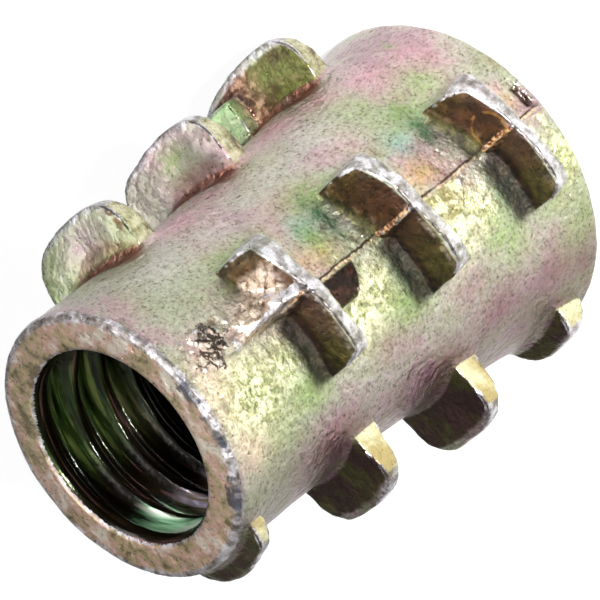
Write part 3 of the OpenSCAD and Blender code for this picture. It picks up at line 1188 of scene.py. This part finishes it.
def filmGroup():
    # the chromate film: broad drifts of colour with finer mottling on top
    tree, given, out = newShaderGroup("chromateFilm", [("Spread", 1.0)], [("Color", "NodeSocketColor")])
    drift = noiseOf(tree, given["Vector"], 420.0, 3.0, 0.6, 0.3)
    mottle = noiseOf(tree, given["Vector"], 2300.0, 4.0, 0.65)
    depth = calc(tree, "SUBTRACT", weighed(tree, drift, 0.7, mottle, 0.3), 0.5)
    depth = calc(tree, "MULTIPLY_ADD", depth, given["Spread"], 0.5)
    tree.links.new(rampOf(tree, depth, filmColours), out["Color"])
    return tree


def grainGroup():
    # the sand-like grain of the casting
    outputs = [("Height", "NodeSocketFloat"), ("Speckle", "NodeSocketFloat")]
    tree, given, out = newShaderGroup("castGrain", [], outputs)
    sand = noiseOf(tree, given["Vector"], 12000.0, 2.0, 0.6)
    lumps = noiseOf(tree, given["Vector"], 5200.0, 2.0, 0.5)
    tree.links.new(calc(tree, "MULTIPLY_ADD", sand, 0.2, lumps), out["Height"])
    tree.links.new(spanOf(tree, weighed(tree, sand, 0.7, lumps, 0.3), 0.3, 0.68), out["Speckle"])
    return tree


def ringGroup():
    # a small round tool mark: a thin circle about a centre
    inputs = [("Centre", (0.0, 0.0, 0.0)), ("Radius", 0.00045), ("Width", 0.00005)]
    tree, given, out = newShaderGroup("toolRing", inputs, [("Mask", "NodeSocketFloat")])
    away = vectorCalc(tree, "DISTANCE", given["Vector"], given["Centre"], "Value")
    off = calc(tree, "ABSOLUTE", calc(tree, "SUBTRACT", away, given["Radius"]))
    off = calc(tree, "DIVIDE", off, given["Width"])
    tree.links.new(calc(tree, "SUBTRACT", 1.0, spanOf(tree, off, 0.3, 1.0)), out["Mask"])
    return tree


def seamGroup():
    # the parting line: a thin wandering crack on the plane between the die halves
    inputs = [("Plane", 0.0001), ("Width", 0.00003), ("Wander", 0.0002)]
    tree, given, out = newShaderGroup("partingLine", inputs, [("Mask", "NodeSocketFloat")])
    axis = addNode(tree, "ShaderNodeSeparateXYZ", [("Vector", given["Vector"])])
    sway = calc(tree, "SUBTRACT", noiseOf(tree, given["Vector"], 2600.0, 3.0, 0.6), 0.5)
    sway = calc(tree, "MULTIPLY", sway, given["Wander"])
    off = calc(tree, "SUBTRACT", calc(tree, "SUBTRACT", axis.outputs["X"], given["Plane"]), sway)
    off = calc(tree, "DIVIDE", calc(tree, "ABSOLUTE", off), given["Width"])
    tree.links.new(calc(tree, "SUBTRACT", 1.0, spanOf(tree, off, 0.4, 1.2)), out["Mask"])
    return tree


chromateFilm = filmGroup()
castGrain = grainGroup()
toolRing = ringGroup()
partingLine = seamGroup()


def groupOf(tree, group, links):
    return addNode(tree, "ShaderNodeGroup", links, node_tree=group).outputs


def startMaterial(material):
    material.use_nodes = True
    tree = material.node_tree
    tree.nodes.clear()
    out = tree.nodes.new("ShaderNodeOutputMaterial")
    shader = tree.nodes.new("ShaderNodeBsdfPrincipled")
    tree.links.new(shader.outputs[0], out.inputs[0])
    place = tree.nodes.new("ShaderNodeTexCoord").outputs["Object"]
    return tree, shader, place


tintAndLightColours = {
    "pinkTint": rgb(194, 148, 160),
    # mauve film, also the painted shade on the far side
    "mauveFilmAndShade": rgb(144, 98, 114),
    "greenTint": rgb(148, 164, 116),
    # colour of the painted glint
    "paintedGlint": rgb(238, 232, 178),
    "warmTint": rgb(186, 154, 108),
    # peach of the painted glint near the mouth
    "peachGlint": rgb(232, 204, 180),
    "paleTint": rgb(196, 190, 188),
    "aquaTint": rgb(112, 160, 148),
    "grassTint": rgb(132, 158, 92),
    # dark teal of the painted reflection at the front fins' feet
    "tealReflection": rgb(58, 98, 66),
}
paints = {
    # colour of the painted shade in concave corners
    "corner": rgb(90, 68, 44),
    "seamLip": rgb(226, 200, 160),
    "seamCrack": rgb(66, 44, 30),
    "leftGreen": rgb(138, 156, 106),
    "leftPink": rgb(172, 152, 156),
    "nearEdgeHighlight": rgb(196, 176, 166),
    "rootHighlight": rgb(150, 128, 104),
    "wrinkle": rgb(64, 44, 30),
    "toolMark": rgb(168, 126, 70),
    "notch": rgb(48, 32, 24),
    "scuff": rgb(64, 66, 78),
    # colour of the painted shade in the fins' edge grooves
    "gap": rgb(44, 36, 34),
}
pairs = {  # two colours that a noise mottles
    # mauve and olive of the painted shade on the far side
    "deep": (rgb(98, 72, 76), rgb(96, 92, 68)),
    "pad": (rgb(150, 144, 100), rgb(226, 226, 184)),
    "padDark": (rgb(26, 12, 8), rgb(62, 34, 24)),
    "rootShadeBrown": (rgb(110, 66, 50), rgb(146, 98, 84)),
    "end": (rgb(168, 154, 100), rgb(212, 208, 168)),
    # colours of the painted shade on the fins' mouth sides
    "darkRight": (rgb(58, 42, 38), rgb(66, 64, 36)),
    "darkRed": (rgb(46, 25, 16), rgb(80, 48, 28)),
    "darkOlive": (rgb(48, 43, 22), rgb(90, 78, 42)),
    "lowLeft": (rgb(102, 106, 58), rgb(78, 70, 42)),
    "pits": (rgb(52, 36, 26), rgb(122, 92, 62)),
    "lump": (rgb(138, 168, 118), rgb(176, 190, 150)),
    "footShade": (rgb(18, 13, 12), rgb(46, 34, 28)),
    "leftFootShade": (rgb(34, 36, 18), rgb(74, 70, 40)),
    "overSeam": (rgb(132, 84, 68), rgb(230, 190, 140)),
    "grainTone": (rgb(184, 180, 171), rgb(255, 255, 255)),
}
ramps = {
    "gleam": [(0.39, rgb(62, 88, 40)), (0.47, rgb(166, 176, 110)), (0.55, rgb(248, 252, 222))],
    "ring": [
        (0.39, rgb(104, 90, 60)),
        (0.46, rgb(172, 158, 120)),
        (0.52, rgb(196, 156, 140)),
        (0.59, rgb(212, 202, 186)),
    ],
    "leftEnd": [(0.38, rgb(84, 66, 44)), (0.46, rgb(140, 140, 96)), (0.6, rgb(184, 180, 150))],
    "lowLeftBrown": [(0.4, rgb(62, 42, 34)), (0.52, rgb(104, 74, 56)), (0.62, rgb(170, 136, 114))],
    "web": [
        (0.37, rgb(104, 80, 62)),
        (0.45, rgb(182, 160, 138)),
        (0.54, rgb(216, 198, 182)),
        (0.64, rgb(230, 212, 204)),
    ],
    "crust": [
        (0.07, rgb(22, 16, 12)),
        (0.12, rgb(84, 62, 48)),
        (0.19, rgb(206, 188, 172)),
        (0.4, rgb(222, 208, 196)),
    ],
    "silver": [(0.34, rgb(84, 78, 74)), (0.47, rgb(136, 132, 132)), (0.6, rgb(192, 190, 196))],
    # the bore is painted near black: painted shade over dark film
    "bore": [(0.36, rgb(12, 10, 6)), (0.52, rgb(24, 20, 12)), (0.62, rgb(40, 34, 24)), (0.7, rgb(92, 66, 66))],
    "boreGreen": [(0.36, rgb(18, 20, 8)), (0.5, rgb(44, 60, 26)), (0.64, rgb(98, 110, 62))],
    # painted highlights on the thread flanks, mint near the mouth and lilac deeper
    "boreMintGlint": [(0.36, rgb(50, 60, 44)), (0.5, rgb(136, 190, 146)), (0.62, rgb(220, 236, 214))],
    "boreLilacGlint": [(0.36, rgb(30, 22, 22)), (0.48, rgb(140, 118, 92)), (0.6, rgb(206, 196, 220))],
}
glossForm = {
    "metal": 0.8,
    "rough": (0.26, 0.4),
    "feetRough": 0.66,
    "grainHigh": 0.00008,
    "boreMetal": 0.6,
    "boreRough": (0.12, 0.24),
    "boreGrain": 0.3,
    "boreGrainHigh": 0.00004,
}
seamForm = {"crack": (0.00013, 0.000035), "lip": (0.00006, 0.00004)}  # plane and width
ringCentre = (0.00037, -0.00475, 0.00234)  # of the tool mark on the lowest front fin


def bodyCoats(tree, place, fine, broad):
    film = groupOf(tree, chromateFilm, [("Vector", place), ("Spread", 1.3)])
    colour = film["Color"]
    for name, tint in tintAndLightColours.items():
        colour = coat(tree, colour, name, spanOf(tree, fine, 0.34, 0.6, 0.55, 1.0), tint)
    # painted glint: bright yellow-white flecks with dark green streaks over the glint band
    gleam = rampOf(tree, noiseOf(tree, place, 3600.0, 5.0, 0.75, 0.5), ramps["gleam"])
    colour = coat(tree, colour, "paintedGlint", 0.85, gleam)
    # painted shade in concave corners
    colour = coat(tree, colour, "corner", 0.7, paints["corner"])
    # painted shade over the far side
    colour = coat(tree, colour, "farSideShade", 0.72, mottled(tree, broad, 0.4, 0.6, pairs["deep"]))
    pad = mottled(tree, fine, 0.42, 0.58, pairs["pad"])
    padDark = mottled(tree, fine, 0.4, 0.66, pairs["padDark"])
    pad = blendOf(tree, maskOf(tree, "padDark"), pad, padDark)
    colour = coat(tree, colour, ragged(tree, "padTop", fine, 0.4, 0.4, 0.6), 0.98, pad)
    frontSkin = maskOf(tree, "frontSkin")
    lines = {}
    for name, (plane, width) in seamForm.items():
        line = groupOf(tree, partingLine, [("Vector", place), ("Plane", plane), ("Width", width)])
        lines[name] = calc(tree, "MULTIPLY", line["Mask"], frontSkin)
    colour = coat(tree, colour, lines["lip"], spanOf(tree, broad, 0.36, 0.56, 0.1, 0.8), paints["seamLip"])
    colour = coat(tree, colour, lines["crack"], spanOf(tree, fine, 0.3, 0.5, 0.45, 0.95), paints["seamCrack"])
    # brown fillet with painted shadow under the left fins' roots
    brown = blendOf(tree, broad, *pairs["rootShadeBrown"])
    colour = coat(tree, colour, "rootShadeBrown", spanOf(tree, fine, 0.3, 0.5, 0.6, 0.95), brown)
    ring = rampOf(tree, weighed(tree, broad, 0.6, fine, 0.4), ramps["ring"])
    return coat(tree, colour, "mouthRing", 0.85, ring)


def finCoats(tree, colour, speckle, fine, broad):
    # pale gold film on the fin ends, laid strongest on the front faces as painted light
    end = mottled(tree, broad, 0.38, 0.6, pairs["end"])
    end = blendOf(tree, maskOf(tree, "leftRow"), end, rampOf(tree, fine, ramps["leftEnd"]))
    colour = coat(tree, colour, ragged(tree, "litFinEnd", fine, 0.5, 0.3, 0.6), 0.85, end)
    # painted shade colours for the fins' mouth sides in red, olive and brown film tones; the lowest left fin's
    # brown pocket beside the lump is painted shadow
    dark = mottled(tree, broad, 0.4, 0.6, pairs["darkRight"])
    dark = blendOf(tree, maskOf(tree, "redness"), dark, mottled(tree, fine, 0.36, 0.66, pairs["darkRed"]))
    dark = blendOf(tree, maskOf(tree, "oliveShare"), dark, mottled(tree, fine, 0.36, 0.66, pairs["darkOlive"]))
    low = mottled(tree, broad, 0.4, 0.6, pairs["lowLeft"])
    low = blendOf(tree, maskOf(tree, "lowLeftBrown"), low, rampOf(tree, fine, ramps["lowLeftBrown"]))
    dark = blendOf(tree, maskOf(tree, "lowLeft"), dark, low)
    colour = coat(tree, colour, "leftGreen", spanOf(tree, fine, 0.36, 0.56, 0.3, 0.9), paints["leftGreen"])
    colour = coat(tree, colour, "leftPink", spanOf(tree, fine, 0.36, 0.56, 0.4, 0.9), paints["leftPink"])
    pitted = ragged(tree, "endPits", broad, 2.2, 0.75, 0.95)
    colour = coat(tree, colour, pitted, 0.9, mottled(tree, fine, 0.4, 0.6, pairs["pits"]))
    colour = coat(tree, colour, "lumpTop", 0.8, mottled(tree, broad, 0.4, 0.6, pairs["lump"]))
    # lays the painted shade on the fins' mouth sides
    colour = coat(tree, colour, ragged(tree, "nearShade", fine, 0.25, 0.1, 0.75), 0.96, dark)
    # painted shade in the fillets under the front fins: near black on the right halves, dark olive on the left
    colour = coat(tree, colour, "footShade", 0.92, mottled(tree, fine, 0.4, 0.6, pairs["footShade"]))
    colour = coat(tree, colour, "leftFootShade", 0.95, mottled(tree, fine, 0.4, 0.6, pairs["leftFootShade"]))
    # painted highlight along the front fins' upper edges
    pale = calc(tree, "MULTIPLY", maskOf(tree, "nearEdgeHighlight"), spanOf(tree, broad, 0.36, 0.5))
    colour = coat(tree, colour, pale, 0.8, paints["nearEdgeHighlight"])
    overSeam = ragged(tree, "nearSeam", fine, 0.9, 0.4, 0.7)
    colour = coat(tree, colour, overSeam, 0.85, mottled(tree, speckle, 0.3, 0.8, pairs["overSeam"]))
    # painted highlight along the fins' feet
    return coat(tree, colour, "rootHighlight", spanOf(tree, fine, 0.42, 0.55, 0.1, 0.7), paints["rootHighlight"])


def gateCoats(tree, colour, crumb, place, fine, broad):
    wrinkle = calc(tree, "ABSOLUTE", calc(tree, "SUBTRACT", broad, 0.5))
    wrinkle = spanOf(tree, wrinkle, 0.0, 0.03, 0.75, 0.0)
    web = blendOf(tree, wrinkle, rampOf(tree, fine, ramps["web"]), paints["wrinkle"])
    colour = coat(tree, colour, "webTop", 0.8, web)
    sway = vectorCalc(tree, "MULTIPLY", noiseOf(tree, place, 6000.0), (0.0005, 0.0005, 0.0005))
    cells = [("Vector", vectorCalc(tree, "ADD", place, sway)), ("Scale", 3700.0)]
    cracks = addNode(tree, "ShaderNodeTexVoronoi", cells, feature="DISTANCE_TO_EDGE").outputs["Distance"]
    cracks = calc(tree, "ADD", cracks, calc(tree, "MULTIPLY_ADD", broad, 0.6, -0.32))
    colour = coat(tree, colour, crumb, 0.92, rampOf(tree, cracks, ramps["crust"]))
    mark = groupOf(tree, toolRing, [("Vector", place), ("Centre", ringCentre)])
    colour = coat(tree, colour, mark["Mask"], spanOf(tree, fine, 0.42, 0.62, 0.0, 0.6), paints["toolMark"])
    # painted shade in the notch
    return coat(tree, colour, "notchShade", 0.85, paints["notch"])


def wearAndShadeCoats(tree, colour, unworn, place, fine):
    worn = ragged(tree, "edgeWear", fine, 0.8, 0.35, 0.75)
    bare = calc(tree, "MULTIPLY", worn, calc(tree, "MULTIPLY_ADD", unworn, -0.9, 1.0))
    edges = {  # how much noise tears each edge, and between which limits
        "crestBand": (0.5, 0.3, 0.6),
        "ringEdge": (0.9, 0.5, 0.8),
        "lipEdge": (1.6, 0.65, 0.95),
        "webRidge": (1.2, 0.5, 0.8),
    }
    for name, (amount, low, high) in edges.items():
        bare = calc(tree, "MAXIMUM", bare, ragged(tree, name, fine, amount, low, high))
    colour = coat(tree, colour, bare, 0.85, rampOf(tree, fine, ramps["silver"]))
    scuff = ragged(tree, "ringScuff", noiseOf(tree, place, 1300.0, 4.0, 0.7), 3.0, 0.85, 1.15)
    colour = coat(tree, colour, scuff, 0.85, paints["scuff"])
    # painted shade in the grooves at the fins' edges
    return coat(tree, colour, ragged(tree, "gapShade", fine, 0.8, 0.3, 0.6), 0.85, paints["gap"])


def dressOutside(material):
    tree, shader, place = startMaterial(material)
    grain = groupOf(tree, castGrain, [("Vector", place)])
    fine = noiseOf(tree, place, 3600.0, 4.0, 0.65)
    broad = noiseOf(tree, place, 1100.0, 3.0, 0.6)
    crumb = ragged(tree, "crumb", fine, 2.4, 0.45, 0.6)
    feet = calc(tree, "MAXIMUM", maskOf(tree, "footShade"), maskOf(tree, "leftFootShade"))
    colour = bodyCoats(tree, place, fine, broad)
    colour = finCoats(tree, colour, grain["Speckle"], fine, broad)
    colour = gateCoats(tree, colour, crumb, place, fine, broad)
    smooth = calc(tree, "MULTIPLY", maskOf(tree, "finSide"), 0.9)  # fins and mouth are less grainy
    smooth = calc(tree, "MAXIMUM", maskOf(tree, "mouthRing"), smooth)
    grainy = calc(tree, "MULTIPLY_ADD", smooth, -0.6, 1.0)
    tone = blendOf(tree, grain["Speckle"], *pairs["grainTone"])
    colour = blendOf(tree, grainy, colour, tone, "MULTIPLY")
    colour = wearAndShadeCoats(tree, colour, calc(tree, "MAXIMUM", crumb, feet), place, fine)
    feed(tree, shader.inputs["Base Color"], colour)
    shader.inputs["Metallic"].default_value = glossForm["metal"]
    rough = spanOf(tree, grain["Speckle"], 0.0, 1.0, *glossForm["rough"])
    rough = calc(tree, "MAXIMUM", rough, calc(tree, "MULTIPLY", feet, glossForm["feetRough"]))
    feed(tree, shader.inputs["Roughness"], rough)
    relief = calc(tree, "MULTIPLY", grain["Height"], grainy)
    addBump(tree, shader, relief, 1.0, glossForm["grainHigh"])


def dressBore(material):
    tree, shader, place = startMaterial(material)
    grain = groupOf(tree, castGrain, [("Vector", place)])
    flat = vectorCalc(tree, "MULTIPLY", place, (0.05, 0.05, 1.0))
    lines = noiseOf(tree, flat, 9000.0, 2.0, 0.6)  # cutting lines run round the bore
    # cutting lines over a near-black base, which is painted shade inside the bore
    colour = rampOf(tree, lines, ramps["bore"])
    # painted highlights on the thread flanks
    for name in ("boreGreen", "boreMintGlint", "boreLilacGlint"):
        colour = blendOf(tree, maskOf(tree, name), colour, rampOf(tree, lines, ramps[name]))
    feed(tree, shader.inputs["Base Color"], colour)
    shader.inputs["Metallic"].default_value = glossForm["boreMetal"]
    feed(tree, shader.inputs["Roughness"], spanOf(tree, grain["Speckle"], 0.0, 1.0, *glossForm["boreRough"]))
    addBump(tree, shader, grain["Height"], glossForm["boreGrain"], glossForm["boreGrainHigh"])


def addBump(tree, shader, height, strength, distance):
    settings = [("Height", height), ("Strength", strength), ("Distance", distance)]
    feed(tree, shader.inputs["Normal"], addNode(tree, "ShaderNodeBump", settings).outputs[0])


boreFinish = bpy.data.materials.new("shadedBoreChromate")
dressOutside(castFinish)
dressBore(boreFinish)
castMesh.materials.append(boreFinish)
corners = np.empty(len(castMesh.loops), np.int32)
castMesh.loops.foreach_get("vertex_index", corners)
starts = np.empty(len(castMesh.polygons), np.int32)
castMesh.polygons.foreach_get("loop_start", starts)
boreFaces = np.add.reduceat(insideBore[corners].astype(np.int32), starts) > 1
castMesh.polygons.foreach_set("material_index", boreFaces.astype(np.int32))
print("finish laid")

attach(insertPiece, "root")
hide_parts("insert_body")


# stage: pale floor, soft studio light

stageSet = {
    "floorSize": 1.2,
    "paper": (0.86, 0.86, 0.86, 1.0),
    "floorGlow": 0.5,  # share of plain white that the eye and the metal see
    "roomLow": 0.12,  # room light near the horizon
    "roomHigh": 0.75,  # and overhead
    "lamps": {  # place, aim, size, watts, spread in degrees
        "frontLamp": ((-0.02, -0.12, 0.08), (-0.004, -0.017, 0.0), 0.02, 0.016, 24.0),
        "sideLamp": ((0.28, -0.06, 0.16), (0.0, 0.0, 0.006), 0.2, 0.6, 180.0),
        "topLamp": ((0.05, 0.02, 0.36), (0.0, 0.0, 0.006), 0.24, 0.55, 180.0),
    },
}


def makeFloor():
    half = stageSet["floorSize"] / 2
    corners = [(-half, -half, 0), (half, -half, 0), (half, half, 0), (-half, half, 0)]
    mesh = plainMesh("floor", corners, [[0, 1, 2, 3]])
    floor = linkObject("floor", mesh)
    paper = bpy.data.materials.new("floorPaper")
    paper.use_nodes = True
    tree = paper.node_tree
    tree.nodes.clear()
    out = tree.nodes.new("ShaderNodeOutputMaterial")
    matte = addNode(tree, "ShaderNodeBsdfDiffuse", [("Color", stageSet["paper"])])
    white = addNode(tree, "ShaderNodeEmission", [("Color", (1.0, 1.0, 1.0, 1.0)), ("Strength", 1.0)])
    path = tree.nodes.new("ShaderNodeLightPath")
    seen = calc(tree, "MAXIMUM", path.outputs["Is Camera Ray"], path.outputs["Is Glossy Ray"])
    seen = calc(tree, "MAXIMUM", seen, path.outputs["Is Transmission Ray"])
    glow = calc(tree, "MULTIPLY", seen, stageSet["floorGlow"])
    both = addNode(tree, "ShaderNodeMixShader", [(0, glow), (1, matte.outputs[0]), (2, white.outputs[0])])
    tree.links.new(both.outputs[0], out.inputs[0])
    mesh.materials.append(paper)


def makeLamps():
    for name, (place, aim, size, watts, spreadAngle) in stageSet["lamps"].items():
        lamp = bpy.data.lights.new(name, "AREA")
        lamp.shape = "DISK"
        lamp.size = size
        lamp.energy = watts
        lamp.spread = math.radians(spreadAngle)
        holder = linkObject(name, lamp)
        holder.location = place
        holder.rotation_euler = (Vector(place) - Vector(aim)).to_track_quat("Z", "Y").to_euler()
        holder.visible_camera = False


def makeWorld():
    world = bpy.data.worlds.new("studio")
    scene.world = world
    world.use_nodes = True
    tree = world.node_tree
    tree.nodes.clear()
    out = tree.nodes.new("ShaderNodeOutputWorld")
    room = tree.nodes.new("ShaderNodeBackground")
    way = tree.nodes.new("ShaderNodeTexCoord").outputs["Generated"]
    axis = addNode(tree, "ShaderNodeSeparateXYZ", [("Vector", way)])
    shade = spanOf(tree, axis.outputs["Z"], 0.45, 0.8, stageSet["roomLow"], stageSet["roomHigh"])
    grey = addNode(tree, "ShaderNodeCombineXYZ", [("X", shade), ("Y", shade), ("Z", shade)])
    feed(tree, room.inputs["Color"], grey.outputs[0])
    tree.links.new(room.outputs[0], out.inputs[0])


makeFloor()
makeLamps()
makeWorld()
print("stage set")
